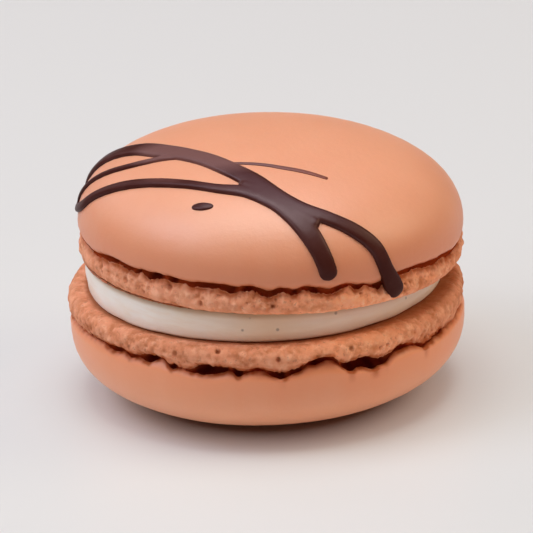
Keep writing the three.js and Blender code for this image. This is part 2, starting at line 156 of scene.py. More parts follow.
# The crack between dome and foot, alike in both shells: mm, but even and blunt are degrees.
crack = {
    "widestRise": 0.85, "fade": 1.6, "even": 6.4, "depth": 0.26, "depthPerOpening": 1.3, "floor": 0.5,
    "groove": 0.05, "grooveMore": 0.26, "grooveOpenAt": 0.25, "grooveWaves": 0.12, "blunt": 1.0,
    "rimTuck": 0.6, "mostTucked": 1.15, "cut": 0.5, "lipRoll": 0.14, "rollFrom": 0.75, "leastGap": 0.05,
    "zigzag": 0.08,
    "backCracks": 48, "backRise": 0.38, "backOpening": 0.08, "backSpread": 0.8, "backSkew": 1.6,
    "upperTeeth": 0.07, "lowerTeeth": 0.16, "pocket": 0.32, "pocketOpenAt": 0.5,
    "grooveNoise": 51, "upperNoise": 21, "lowerNoise": 31, "toothCircle": 23,
    "toothGrains": ((1.3, 0.6), (0.6, 0.6), (0.28, 0.45)),               # size in mm, weight
    # a wall ring's dark is the share of painted shade that it gets in the crack
    "walls": ((0.05, 0.3, 0.35), (0.16, 0.85, 0.9), (0.5, 1.0, 1.0)),    # share inwards, hidden, dark
}
# The rings of a shell, from the top of the dome round to the cream; the first resting ones of the lower
# shell lie flat under it.
rows = {
    "flat": (0.2, 0.7), "resting": 4, "dome": 18, "domeGather": 1.1, "rim": 12, "rimGather": 0.75,
    "side": 22, "roundEdge": 11, "roundFade": 0.6, "grainsPerPart": 3, "crackRough": 0.35,
    "base": ((0.65, 0.4), (0.4, 0.35), (0.15, 0.3), (-0.2, 0.2), (-3, 0)),    # mm past the cream, rough
}
# The relief: sizes and depths in mm. A grain or cell is the size of its noise.
relief = {
    "columns": 1300, "knotColumns": 112, "grain": 0.12, "apart": 40.0,
    "domeSwell": 0.035, "swellGrain": 7, "domeGrain": 0.006, "fineGrain": 0.9,
    "rimReach": 1.2, "rimWrinkle": 0.06, "wrinkleGrains": (0.9, 0.4), "fineWrinkle": 0.6, "stretch": 0.5,
    "warp": 0.35, "warpGrain": 1.1, "sponge": 0.21, "spongeNearLip": 0.7,
    "spongeGrains": ((1.9, 0.35), (0.95, 0.35), (0.5, 0.42)), "crumbGrain": (0.27, 0.26),    # size, weight
    "lipLumps": 0.2, "lumpCell": 1.5, "lumpReach": 0.95, "lipReach": 0.9,
    "pitDepth": 0.22, "pitNearLip": 0.4, "poreDepth": 0.35,
    "marksFrom": 205, "marksTo": 335, "markCore": 0.35, "markEdge": 1.15,
}
# Holes, one in a cell at most: over is the share of cells without one.
pits = {"cell": 0.75, "over": 0.45, "skew": 1, "size": 0.3, "least": 0.06, "core": 0.4, "edge": 0.05,
        "seed": 16}
pores = {"cell": 1.7, "over": 0.65, "skew": 0.7, "size": 0.4, "least": 0.12, "core": 0.5, "edge": 0.06,
         "seed": 21}
# Where the tints lie, mostly painted light and shade: mm from the crack or the cream, and degrees round
# the shell.
tints = {
    # the tint near the dome's rim, darker and redder, is painted shade
    "rimShade": 0.8, "rimShadeFrom": 0.5, "rimShadeTo": 6.0, "openFrom": 0.2, "openTo": 0.8,
    # the tint round the front and right makes the foot lighter: painted light
    "paintedLightAt": 297, "paintedLightReach": 22, "seamAt": 335, "seamReach": 35,
    # the seam is painted shade by the cream, partly the foot's own browner edge
    "seamFrom": (0.1, 0.5), "seamTo": (0.65, 1.9), "seamHeight": 0.5,    # everywhere, and more at seamAt
    # the next line places painted shade on the crack's lips, patchy and strongest where the crack is open
    "lipShadeReach": 0.8, "lipShadeAbove": 1.5, "lipShadeOpening": 0.3, "leastLipShade": 0.3,
    # from pitDark on: painted shade in pits, pores and hollows, and a painted highlight on raised tops
    "lipShadePatches": 0.9, "patchGrain": 0.6, "pitDark": 0.5, "poreDark": 0.8, "spongeDark": 0.8,
    "leastDark": 0.15, "mostPale": 0.75, "markCore": 0.4, "markEdge": 1.2,
}
tilt = {"pitch": -1.23, "roll": 2.12, "thickness": 3.3}   # upper shell on the cream
# The cream's underside lies on the lower shell and its top meets the tilted upper one; mm and degrees.
cream = {
    "radius": 20.8, "middle": -0.25, "bulge": 0.25, "edgeRound": 0.35, "wave": 0.12, "seed": 7,
    "columns": 720, "sideRows": 28, "insets": (17.0, 1.5), "swell": 0.06, "swellGrain": 2.4,
    # the last two ranges here fade the painted shadow at the cream's top and base
    "swellSquash": 2.5, "sink": 0.04, "edgeShadeTop": (0.45, 1.05), "edgeShadeBase": (0.05, 0.4),
    # the next line places painted tan shade, with warm reflected light, on one side of the cream
    "paintedShadeSide": (222, 265), "paintedShadeAt": 271, "paintedShadeReach": 11, "paintedShadeShare": 0.5,
}


def scatter(i, j, seed):
    # a repeatable number from 0 to 1: the fraction of a large sine of the whole numbers i and j
    s = np.sin(i * 12.9898 + j * 78.233 + seed * 37.719) * 43758.5453
    return s - np.floor(s)


def latticeValue(place, seed):
    # a hash of whole-number points, from 0 to 1
    n = (place @ np.array([374761393, 668265263, 1274126177]) + seed * 974634777) & 0xFFFFFFFF
    n = ((n ^ (n >> 13)) * 1103515245) & 0xFFFFFFFF
    return ((n ^ (n >> 16)) & 0xFFFFFF) / 0xFFFFFF


def cloudNoise(points, size, seed):
    # value noise from -1 to 1: lattice values size apart, blended smoothly along the three axes;
    # 1000 cells on, so that no whole number is below zero
    scaled = points / size + 1000.0
    corner = np.floor(scaled).astype(np.int64)
    share = scaled - corner
    share = share * share * (3 - 2 * share)
    total = 0
    for step in np.ndindex(2, 2, 2):
        weight = np.abs(1 - np.array(step) - share).prod(-1)
        total = total + weight * latticeValue(corner + step, seed)
    return total * 2 - 1


def cellNoise(points, size, seed):
    # one scattered centre in each cube of the given size: the distance to the nearest, and its own number
    scaled = points / size + 1000.0
    cube = np.floor(scaled).astype(np.int64)
    nearest = np.full(points.shape[:-1], 9.0)    # farther than any centre
    own = np.zeros(points.shape[:-1])
    for step in np.ndindex(3, 3, 3):
        near = cube + step - 1
        centre = near + np.stack([latticeValue(near, seed + k) for k in range(3)], -1)
        distance = np.linalg.norm(centre - scaled, axis=-1)
        closer = distance < nearest
        nearest = np.where(closer, distance, nearest)
        own = np.where(closer, latticeValue(near, seed + 3), own)
    return nearest * size, own


def creamRim(turn):
    # the cream's radius, a circle with two slow waves round it
    waves = np.sin(3 * turn + cream["seed"]) + np.sin(5 * turn + 2 * cream["seed"])
    return cream["radius"] + cream["wave"] * waves / 2


def creamEdgeRound(shell, turn):
    # how far the cream's edge is from this shell's own axis
    return creamRim(turn) + (cream["middle"] - shell["shift"]) * np.cos(turn)


def smoothStep(low, high, value):
    # from 0 at low to 1 at high, with no slope at either end
    share = np.clip((value - low) / (high - low), 0, 1)
    return share * share * (3 - 2 * share)


def crackAround(shell, angles):
    # rise and opening at each angle: eased between knots, the front ones given and the rest scattered
    front = np.array(shell["crackFront"])
    first, last = front[0, 0], front[-1, 0]
    k = np.arange(1, crack["backCracks"] + 1)
    step = (first + 360 - last) / (crack["backCracks"] + 1)
    rise = (2 * scatter(k, 1, shell["seed"]) - 1) * crack["backRise"]
    opening = scatter(k, 2, shell["seed"]) ** crack["backSkew"]
    opening = crack["backOpening"] + crack["backSpread"] * opening
    back = np.stack([last + step * k, rise, opening], -1)
    knots = np.concatenate([front, back, [[first + 360, front[0, 1], front[0, 2]]]])
    turned = np.where(angles < first, angles + 360, angles)
    low = np.searchsorted(knots[:, 0], turned, side="right") - 1
    low = np.clip(low, 0, len(knots) - 2)
    share = (turned - knots[low, 0]) / (knots[low + 1, 0] - knots[low, 0])
    share = share * share * (3 - 2 * share)
    eased = knots[low] + (knots[low + 1] - knots[low]) * share[:, None]
    return eased[:, 1], eased[:, 2]


def knotWave(angles, count, row, seed):
    # scattered values from -1 to 1 at evenly spaced knots round the shell, straight between them
    place = angles / 360 * count
    low = np.floor(place).astype(int)
    share = place - low
    a = 2 * scatter(low % count, row, seed) - 1
    b = 2 * scatter((low + 1) % count, row, seed) - 1
    return a + (b - a) * share


def domeCurve(shell, t):
    # superellipse: radius is R cos(t)^(2/n), height rises with sin(t)^(2/n) to the edge of the flat top
    power = 2 / shell["domeFullness"]
    flatT = math.acos((shell["flatRadius"] / shell["radius"]) ** (1 / power))
    rise = np.minimum(1, np.sin(t) ** power / math.sin(flatT) ** power)
    height = shell["footHeight"] + crack["widestRise"] + (shell["domeHeight"] - crack["widestRise"]) * rise
    return shell["radius"] * np.cos(t) ** power, height, flatT


def evenRound(values, degrees):
    # the mean over so many degrees to each side, going on round the shell
    reach = int(round(degrees / 360 * len(values)))
    wrapped = np.concatenate([values[-reach:], values, values[:reach]])
    return np.convolve(wrapped, np.ones(2 * reach + 1) / (2 * reach + 1), "valid")


def toothEdge(angles, row, seed):
    # a ragged edge from -1 to 1: smooth noise of several grains, taken round a circle near the crack
    turn = np.radians(angles)
    circle = crack["toothCircle"]
    place = np.stack([circle * np.cos(turn), circle * np.sin(turn), 0 * turn + row], -1)
    return sum(weight * cloudNoise(place, grain, seed + row + k)
               for k, (grain, weight) in enumerate(crack["toothGrains"]))


def shellRows(shell, angles):
    # every row is a ring: the dome's flat top, dome, rim, crack, foot side, round edge and base in turn
    seed, foot = shell["seed"], shell["footHeight"]
    rise, opening = crackAround(shell, angles)
    middle = foot + rise + knotWave(angles, relief["knotColumns"], 0, seed) * crack["zigzag"]
    groove = crack["groove"] + crack["grooveMore"] * smoothStep(0, crack["grooveOpenAt"], opening)
    groove = groove + crack["grooveWaves"] * toothEdge(angles, crack["grooveNoise"], seed)
    half = evenRound(np.hypot(opening, groove) / 2, crack["blunt"])
    middle = evenRound(middle, crack["blunt"])
    upperLip = middle + half + toothEdge(angles, crack["upperNoise"], seed) * crack["upperTeeth"]
    # the foot's crumbs have round tops with sharp gaps between
    crumbs = 1 - 2 * np.abs(toothEdge(angles, crack["lowerNoise"], seed))
    lowerLip = np.minimum(middle - half - crumbs * crack["lowerTeeth"], upperLip - crack["leastGap"])
    evenLip = evenRound(upperLip, crack["even"])
    depth = crack["depth"] + crack["depthPerOpening"] * opening
    tucked = shell["radius"] - shell["footTuck"]
    rings = []

    def follow(height):
        # a dome's height moved with the crack's even course, less and less towards the top
        return height + (evenLip - foot) * np.exp(-(height - foot) / crack["fade"])

    # a ring holds its radius, its height, how rough it is and how deep in the crack, which sets its
    # painted shade
    top = foot + shell["domeHeight"]
    for share in rows["flat"]:
        rings.append((shell["flatRadius"] * share, top, 0, 0))
    _, _, flatT = domeCurve(shell, 0.0)
    for share in np.linspace(0, 1, rows["dome"]):
        radius, height, _ = domeCurve(shell, flatT * (1 - share) ** rows["domeGather"])
        rings.append((radius, follow(height) if share else height, 0, 0))
    for share in np.linspace(0, 1, rows["rim"])[1:] ** rows["rimGather"]:
        height = foot + crack["widestRise"] * (1 - share)
        tooth = (upperLip - evenLip) * share ** 2
        down = np.clip(share - crack["cut"] * tooth / crack["widestRise"], 0, crack["mostTucked"])
        rolled = crack["lipRoll"] * max(0, (share - crack["rollFrom"]) / (1 - crack["rollFrom"])) ** 2
        lipRadius = shell["radius"] - crack["rimTuck"] * down ** 2 - rolled
        rings.append((lipRadius, follow(height) + tooth, 0, 0))
    # behind each lip the crack widens into a pocket, so its walls lie in the dark
    pocket = crack["pocket"] * np.minimum(1, opening / crack["pocketOpenAt"])
    bottom = shell["radius"] - crack["rimTuck"] - depth
    for share, hidden, dark in crack["walls"]:
        rings.append((lipRadius + (bottom - lipRadius) * share, upperLip + pocket * hidden, 0, dark))
    rings.append((bottom, middle + half * crack["floor"], 0, 1))
    rings.append((tucked - depth, middle - half * crack["floor"], rows["crackRough"], 1))
    for share, hidden, dark in crack["walls"][::-1]:
        rings.append((tucked - depth * share, lowerLip - pocket * hidden, rows["crackRough"], dark))
    bulge = shell["footBulge"] + shell["footLean"] * np.cos(np.radians(angles - shell["footLeanAngle"]))
    perPart = rows["grainsPerPart"]
    grainRows = [knotWave(angles, relief["knotColumns"], row, seed) * relief["grain"]
                 for row in range(1, 2 * perPart + 2)]

    def grainAt(part, share):
        # the grain between its scattered rows: part 0 is the foot's side and part 1 its round edge
        place = part * perPart + min(share * perPart, perPart - 0.001)
        low = int(place)
        return grainRows[low] + (grainRows[low + 1] - grainRows[low]) * (place - low)

    for down in np.linspace(0, 1, rows["side"]):
        out = bulge * math.sin(down * math.pi / 2) + grainAt(0, down)
        rings.append((tucked + out, lowerLip + (shell["footRound"] - lowerLip) * down, 1, 0))
    for share in np.linspace(0, 1, rows["roundEdge"])[1:]:
        turn = share * math.pi / 2
        grain = grainAt(1, share) / (1 if share * perPart < 1 else 2) * math.cos(turn)
        rings.append((tucked + bulge + grain - shell["footRound"] * (1 - math.cos(turn)),
                      shell["footRound"] * (1 - math.sin(turn)),
                      1 - rows["roundFade"] * math.sin(turn), 0))
    creamEdge = creamEdgeRound(shell, np.radians(angles))
    for out, rough in rows["base"]:
        rings.append((creamEdge + out, 0, rough, 0))
    radius, height, rough, deep = (
        np.stack([ring[k] + 0 * angles for ring in rings]) for k in range(4))
    return radius, height, rough, deep, opening, upperLip, lowerLip


def gridNormals(points):
    # cross product of the differences down the rows and round the columns
    down = np.gradient(points, axis=0)
    around = np.roll(points, -1, axis=1) - np.roll(points, 1, axis=1)
    normal = np.cross(down, around)
    return normal / np.maximum(np.linalg.norm(normal, axis=-1, keepdims=True), 1e-9)


def holes(points, hole, where, seed):
    # 1 in the middle of round holes of scattered sizes and 0 between them
    distance, own = cellNoise(points, hole["cell"], seed + hole["seed"])
    share = np.clip((own - hole["over"]) / (1 - hole["over"]), 0, 1) ** hole["skew"]
    radius = hole["size"] * share * where
    inside = 1 - smoothStep(hole["core"] * radius, radius + hole["edge"], distance)
    return np.where(radius > hole["least"], inside, 0)


def shellSurface(shell):
    # rings turned about the axis, then pushed out by swell, sponge, lumps, pits, pores and the marks
    angles = np.arange(relief["columns"]) * 360 / relief["columns"]
    radius, height, rough, deep, opening, upperLip, lowerLip = shellRows(shell, angles)
    turn = np.radians(angles)
    around = np.stack([np.cos(turn), np.sin(turn), 0 * turn], -1) + 0 * radius[..., None]
    points = around * radius[..., None]
    points[..., 2] = height
    seed = shell["seed"] * 10
    sample = points + np.array([0.0, 0.0, shell["seed"] * relief["apart"]])

    # dome, rim and side are 1 in their own stretch of rings and fade out at its ends
    dome = 1 - smoothStep(0, 0.3, rough + deep)
    aboveLip = height - upperLip
    rim = dome * (1 - smoothStep(0.0, relief["rimReach"], aboveLip))
    side = smoothStep(0.5, 0.9, rough) * smoothStep(0.0, 0.4, height - 0.6 * shell["footRound"])
    # the foot, the crack and the rim's lip are pushed straight outwards, and the dome square to itself
    sideways = np.maximum(side, deep) + rim * (1 - smoothStep(0.3, 0.8, aboveLip))
    sideways = np.clip(sideways, 0, 1)[..., None]
    ways = gridNormals(points) * (1 - sideways) + around * sideways
    ways /= np.linalg.norm(ways, axis=-1, keepdims=True)

    push = dome * (relief["domeSwell"] * cloudNoise(sample, relief["swellGrain"], seed)
                   + relief["domeGrain"] * cloudNoise(sample, relief["fineGrain"], seed + 1))
    coarse, fine = relief["wrinkleGrains"]
    push = push + rim * relief["rimWrinkle"] * (
        cloudNoise(sample * np.array([1, 1, relief["stretch"]]), coarse, seed + 2)
        + relief["fineWrinkle"] * cloudNoise(sample, fine, seed + 3))

    warp = np.stack([cloudNoise(sample, relief["warpGrain"], seed + k) for k in (4, 5, 6)], -1)
    warped = sample + warp * relief["warp"]
    grain, weight = relief["crumbGrain"]
    sponge = weight * cloudNoise(sample, grain, seed + 10)
    for k, (grain, weight) in enumerate(relief["spongeGrains"]):
        sponge = sponge + weight * cloudNoise(warped, grain, seed + 7 + k)
    nearLip = 1 - smoothStep(0.0, relief["lipReach"], lowerLip - height)
    lumpDistance = cellNoise(warped, relief["lumpCell"], seed + 11)[0]
    lumps = 1 - np.clip(lumpDistance / relief["lumpReach"], 0, 1) ** 2
    pit = holes(warped, pits, 1, seed)
    offFront = np.where((angles < relief["marksFrom"]) | (angles > relief["marksTo"]), 1.0, 0.0)
    pore = holes(sample, pores, offFront, seed)
    push = push + rough * shell["ragged"] * (
        relief["sponge"] * sponge * (1 - (1 - relief["spongeNearLip"]) * nearLip)
        + relief["lipLumps"] * nearLip * (lumps - 0.5))
    pitDeep = relief["pitDepth"] * (1 - (1 - relief["pitNearLip"]) * nearLip)
    push = push - rough * (pitDeep * pit + relief["poreDepth"] * pore)
    # painted shade in the pits, the pores and the sponge's hollows; below zero, a painted highlight on its
    # tops
    dark = tints["pitDark"] * pit + tints["poreDark"] * pore - tints["spongeDark"] * sponge
    dark = rough * np.clip(dark - tints["leastDark"], -tints["mostPale"], 1)

    footRows = np.where(rough[:, 0] > rows["crackRough"])[0]
    for angle, level, size, out, darkness in shell["marks"]:
        column = int(round(angle / 360 * relief["columns"]))
        row = footRows[np.argmin(np.abs(height[footRows, column] - level))]
        distance = np.linalg.norm(points - points[row, column], axis=-1)
        away = distance / size
        push = push + out * (1 - smoothStep(relief["markCore"], relief["markEdge"], away))
        dark = dark + darkness * (1 - smoothStep(tints["markCore"], tints["markEdge"], away))
    points = points + ways * push[..., None]

    # painted shade by the cream, partly the foot's own browner edge, and widest at the right, where it is
    # painted shadow
    right = np.exp(-((angles - tints["seamAt"]) / tints["seamReach"]) ** 2)
    near, far = (least + more * right for least, more in (tints["seamFrom"], tints["seamTo"]))
    fromCream = radius - creamEdgeRound(shell, turn)
    seam = (1 - smoothStep(near, far, fromCream)) * (height < tints["seamHeight"])
    # painted shade follows the crack's lips, where it is open, and is patchy
    fromLip = np.where(side > 0, lowerLip - height, tints["lipShadeAbove"] * aboveLip)
    lipShade = (rim + side) * (1 - smoothStep(0.0, tints["lipShadeReach"], fromLip))
    lipShade = lipShade * np.clip(opening / tints["lipShadeOpening"] + tints["leastLipShade"], 0, 1)
    lipShade = lipShade * (1 + tints["lipShadePatches"] * cloudNoise(sample, tints["patchGrain"], seed + 30))
    # painted shade: the dome darker and redder towards its rim
    rimShade = 1 - smoothStep(tints["rimShadeFrom"], tints["rimShadeTo"], aboveLip)
    return points, {
        "foot": smoothStep(0.1, 0.35, rough),
        "hollowShade": np.clip(dark, 0, 1),
        # pale is a painted highlight on the foot's raised tops and lumps
        "pale": np.clip(-dark, 0, 1),
        # painted shade in the crack, darker where the crack is open
        "crack": deep,
        "open": smoothStep(tints["openFrom"], tints["openTo"], opening) + 0 * deep,
        "rimShade": tints["rimShade"] * rimShade,
        # painted light: the foot lighter round the front and right
        "paintedLight": np.exp(-((angles - tints["paintedLightAt"]) / tints["paintedLightReach"]) ** 2) + 0 * deep,
        "seam": seam,
        "lipShade": np.clip(lipShade, 0, 1),
    }


def newPiece(name, vertices, faces):
    # a smooth mesh of vertices in mm
    mesh = bpy.data.meshes.new(name)
    mesh.from_pydata((vertices * mm).tolist(), [], faces)
    mesh.polygons.foreach_set("use_smooth", np.ones(len(mesh.polygons), bool))
    return newObject(name, mesh)


def meshFromGrid(name, points, topPoint, basePoint, attributes, flip=False):
    # quads between neighbouring rings and columns, and a fan to one point at each end
    down, across = points.shape[:2]
    index = 2 + np.arange(down * across).reshape(down, across)
    ahead = np.roll(index, -1, axis=1)
    quads = np.stack([index[:-1], index[1:], ahead[1:], ahead[:-1]], -1).reshape(-1, 4)
    topFan = np.stack([0 * index[0], index[0], ahead[0]], -1)
    baseFan = np.stack([0 * index[0] + 1, ahead[-1], index[-1]], -1)
    if flip:
        quads, topFan, baseFan = quads[:, ::-1], topFan[:, ::-1], baseFan[:, ::-1]
    vertices = np.concatenate([[topPoint, basePoint], points.reshape(-1, 3)])
    piece = newPiece(name, vertices, quads.tolist() + topFan.tolist() + baseFan.tolist())
    for key, values in attributes.items():
        layer = piece.data.attributes.new(key, "FLOAT", "POINT")
        ends = [values[0].mean(), values[-1].mean()]
        layer.data.foreach_set("value", np.concatenate([ends, values.ravel()]).astype(np.float32))
    piece.data.update()
    return piece


def upperPlace(points):
    # the upper shell's own places, turned by the pitch and the roll and set on the cream
    turn = Matrix.Rotation(math.radians(tilt["roll"]), 3, "Y") @ Matrix.Rotation(
        math.radians(tilt["pitch"]), 3, "X")
    shift = np.array([upperShell["shift"], 0, lowerTop + tilt["thickness"]])
    return points @ np.array(turn).T + shift


def finishPiece(piece, material, node):
    # one material, and the piece takes the place of the solid of that node
    piece.data.materials.clear()
    piece.data.materials.append(material)
    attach(piece, "root")
    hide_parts(node)


# Materials. Colours are linear. A pattern is (scale, detail, roughness, from, to, strength): noise with
# scale cells to the metre, cut between two levels. A bump is (scale, detail, roughness, distance in m).
crustLook = {
    "dome": (0.80, 0.346, 0.197, 1), "domeDeep": (0.72, 0.282, 0.151, 1),
    # the colour near the rim is painted shade, darker and redder
    "rimShade": (0.77, 0.262, 0.122, 1), "foot": (0.78, 0.300, 0.158, 1), "amber": (0.52, 0.166, 0.064, 1),
    # the colour for hollows is painted shade in the foot's pits and pores
    "crumbAndHighlight": (0.92, 0.450, 0.275, 1), "speck": (0.30, 0.077, 0.027, 1), "hollowShade": (0.30, 0.069, 0.020, 1),
    # the two crack colours are painted shade: dark red-brown in thin cracks, nearly black in open ones
    "thinCrack": (0.52, 0.090, 0.024, 1), "openCrack": (0.20, 0.023, 0.009, 1),
    # the colour for the crack's lips is painted shade
    # the foot's lighter multiplier is a painted light on the foot
    # the seam colour is painted shade by the cream, partly the foot's own browner edge
    "seam": (0.34, 0.10, 0.029, 1), "lipShade": (0.42, 0.090, 0.026, 1), "paintedLight": (1.32, 1.42, 1.42, 1),
    "broadPatches": (110, 3, 0.5, 0.3, 0.7, 0.4),        # 9 mm across
    "almondGrain": (2600, 2, 0.5, 0.4, 0.7, 0.12),       # 0.4 mm
    "amberBlotches": (640, 4, 0.6, 0.42, 0.64, 0.75),    # 1.6 mm
    "paleCrumbs": (1150, 3, 0.55, 0.5, 0.68, 0.75),      # 0.9 mm
    "darkSpecks": (2300, 2, 0.5, 0.60, 0.72, 0.5),       # 0.4 mm
    "paleShare": 0.9, "seamShare": 0.8, "lipShadeShare": 0.8,
    "fineBump": (3800, 3, 0.6, 0.00008), "coarseBump": (1300, 2, 0.5, 0.00012),
    "domeBump": 0.2, "fineFootBump": 0.55, "coarseFootBump": 0.6,
    "roughness": 0.42, "footRoughness": 0.88, "shine": 0.6, "footShine": 0.3,
    "subsurface": 0.1, "subsurfaceRadius": (1.0, 0.4, 0.2), "subsurfaceScale": 0.0006,
}
creamLook = {
    "body": (1.0, 0.925, 0.83, 1), "shade": (0.98, 0.875, 0.75, 1), "speck": (0.20, 0.16, 0.13, 1),
    # the colour for the cream's edges is painted shadow under and against the shells
    # the tan colour serves the streaks and the painted shade on one side of the cream
    "tanAndShade": (0.89, 0.63, 0.39, 1), "edgeShadeColour": (0.60, 0.39, 0.21, 1),
    "shades": (260, 3, 0.5, 0.35, 0.7, 1.0),             # 4 mm
    "streaks": (330, 3, 0.6, 0.45, 0.75, 0.25),          # 3 mm long, 0.5 mm high
    "squash": (1, 1, 6), "paintedShadeShare": 0.75, "edgeShadeShare": 0.75,
    "speckCells": 620, "speckCore": 0.07, "speckEdge": 0.15, "emptyCells": 0.72, "speckShare": 0.6,
    "bump": (500, 4, 0.5, 0.0001), "bumpStrength": 0.15, "roughness": 0.42,
    "subsurface": 0.15, "subsurfaceRadius": (1.0, 0.8, 0.6), "subsurfaceScale": 0.001,
}
# a painted sheen lies over a patch at the top of the dome, between the heights and the places given in m
chocolateLook = {
    "body": (0.055, 0.0110, 0.0070, 1), "bloom": (0.070, 0.020, 0.016, 1),
    # a painted sheen for a patch of chocolate at the top of the dome
    "paintedSheen": (0.17, 0.075, 0.066, 1),
    "thinDeep": (0.19, 0.045, 0.022, 1), "thin": (0.28, 0.080, 0.042, 1),
    "clouds": (420, 3, 0.5, 0.4, 0.75, 1.0),             # 2.4 mm
    "paintedSheenHeight": (0.0290, 0.0298), "paintedSheenNear": (-0.0115, -0.0090), "paintedSheenFar": (0.0015, -0.0015),
    "bump": (700, 2, 0.5, 0.0002), "bumpStrength": 0.12, "roughness": 0.37, "tint": (1.0, 0.77, 0.82, 1),
    "shine": 0.4, "lowShine": 0.1, "shineHeight": (0.021, 0.0265),
    "sideShine": 0.35, "sidePlace": (-0.003, -0.010),
}


def setInputs(node, inputs):
    # another node's output is linked, and anything else is a plain value
    for key, value in inputs.items():
        if isinstance(value, bpy.types.NodeSocket):
            node.id_data.links.new(value, node.inputs[key])
        else:
            node.inputs[key].default_value = value


def addNode(tree, kind, inputs, **settings):
    node = tree.nodes.new(kind)
    for key, value in settings.items():
        setattr(node, key, value)
    setInputs(node, inputs)
    return node


def newMaterial(name):
    # a material, its nodes, its shader and the place in the piece's own frame
    material = bpy.data.materials.new(name)
    material.use_nodes = True
    tree = material.node_tree
    place = addNode(tree, "ShaderNodeTexCoord", {}).outputs["Object"]
    return material, tree, tree.nodes["Principled BSDF"], place


def mixColour(tree, share, first, second, blend="MIX"):
    # first where share is 0 and second, or their product, where it is 1
    inputs = {0: share, 6: first, 7: second}
    return addNode(tree, "ShaderNodeMix", inputs, data_type="RGBA", blend_type=blend).outputs[2]


def ramp(tree, value, low, high):
    # straight from 0 at low to 1 at high
    node = addNode(tree, "ShaderNodeMapRange", {"Value": value, "From Min": low, "From Max": high})
    return node.outputs["Result"]


def noise(tree, coordinates, scale, detail, roughness):
    # cloudy noise of so many cells to the metre
    node = addNode(tree, "ShaderNodeTexNoise",
                   {"Vector": coordinates, "Scale": scale, "Detail": detail, "Roughness": roughness})
    return node.outputs["Fac"]


def attribute(tree, name):
    # a value that the mesh carries at each of its points
    return addNode(tree, "ShaderNodeAttribute", {}, attribute_name=name).outputs["Fac"]


def math2(tree, operation, a, b):
    return addNode(tree, "ShaderNodeMath", {0: a, 1: b}, operation=operation).outputs[0]


def product(tree, a, b):
    return math2(tree, "MULTIPLY", a, b)


def between(tree, share, low, high):
    # straight from low where share is 0 to high where it is 1
    node = addNode(tree, "ShaderNodeMapRange", {"Value": share, "To Min": low, "To Max": high})
    return node.outputs["Result"]


def pattern(tree, coordinates, numbers):
    # noise cut between two levels, times its strength
    scale, detail, roughness, low, high, strength = numbers
    level = ramp(tree, noise(tree, coordinates, scale, detail, roughness), low, high)
    return product(tree, level, strength)


def noiseBump(tree, coordinates, numbers, strength, below=None):
    # a bump of plain noise, on top of the bump below where there is one
    scale, detail, roughness, distance = numbers
    inputs = {"Strength": strength, "Distance": distance,
              "Height": noise(tree, coordinates, scale, detail, roughness)}
    if below:
        inputs["Normal"] = below
    return addNode(tree, "ShaderNodeBump", inputs).outputs["Normal"]


def soften(shader, look):
    # light that goes a little way in
    setInputs(shader, {
        "Subsurface Weight": look["subsurface"], "Subsurface Radius": look["subsurfaceRadius"],
        "Subsurface Scale": look["subsurfaceScale"]})


def crustMaterial(look, name, tone, footTone):
    # dome and foot each have patterns of their own; the mesh's attributes say where each tint lies
    material, tree, shader, place = newMaterial(name)
    onFoot = attribute(tree, "foot")
    dome = mixColour(tree, pattern(tree, place, look["broadPatches"]), look["dome"], look["domeDeep"])
    dome = mixColour(tree, pattern(tree, place, look["almondGrain"]), dome, look["domeDeep"])
    # painted shade: the dome darker and redder near its rim
    dome = mixColour(tree, attribute(tree, "rimShade"), dome, look["rimShade"])
    foot = mixColour(tree, pattern(tree, place, look["amberBlotches"]), look["foot"], look["amber"])
    foot = mixColour(tree, pattern(tree, place, look["paleCrumbs"]), foot, look["crumbAndHighlight"])
    foot = mixColour(tree, pattern(tree, place, look["darkSpecks"]), foot, look["speck"])
    foot = mixColour(tree, 1.0, foot, footTone, "MULTIPLY")
    # painted light: the foot lighter round the front and right
    foot = mixColour(tree, attribute(tree, "paintedLight"), foot, look["paintedLight"], "MULTIPLY")
    toned = mixColour(tree, onFoot, dome, foot)
    toned = mixColour(tree, 1.0, toned, tone, "MULTIPLY")
    # pale puts a painted highlight, in the crumb colour, on the foot's raised tops
    for where, colour in (("pale", "crumbAndHighlight"), ("seam", "seam"), ("lipShade", "lipShade")):
        share = product(tree, attribute(tree, where), look[where + "Share"])
        toned = mixColour(tree, share, toned, look[colour])
    # painted shade in the foot's pits, pores and hollows
    toned = mixColour(tree, attribute(tree, "hollowShade"), toned, look["hollowShade"])
    # painted shade in the crack: dark red-brown where thin, nearly black where open
    depths = mixColour(tree, attribute(tree, "open"), look["thinCrack"], look["openCrack"])
    toned = mixColour(tree, attribute(tree, "crack"), toned, depths)
    strength = between(tree, onFoot, look["domeBump"], look["fineFootBump"])
    fine = noiseBump(tree, place, look["fineBump"], strength)
    strength = between(tree, onFoot, look["domeBump"], look["coarseFootBump"])
    coarse = noiseBump(tree, place, look["coarseBump"], strength, fine)
    roughness = between(tree, onFoot, look["roughness"], look["footRoughness"])
    # nothing shines in the cracks and on their lips, where shade is painted
    crackAndLipShade = math2(tree, "MAXIMUM", attribute(tree, "crack"), attribute(tree, "lipShade"))
    shine = between(tree, onFoot, look["shine"], look["footShine"])
    shine = product(tree, shine, between(tree, crackAndLipShade, 1.0, 0.0))
    setInputs(shader, {
        "Base Color": toned, "Normal": coarse, "Roughness": roughness, "Specular IOR Level": shine})
    soften(shader, look)
    return material


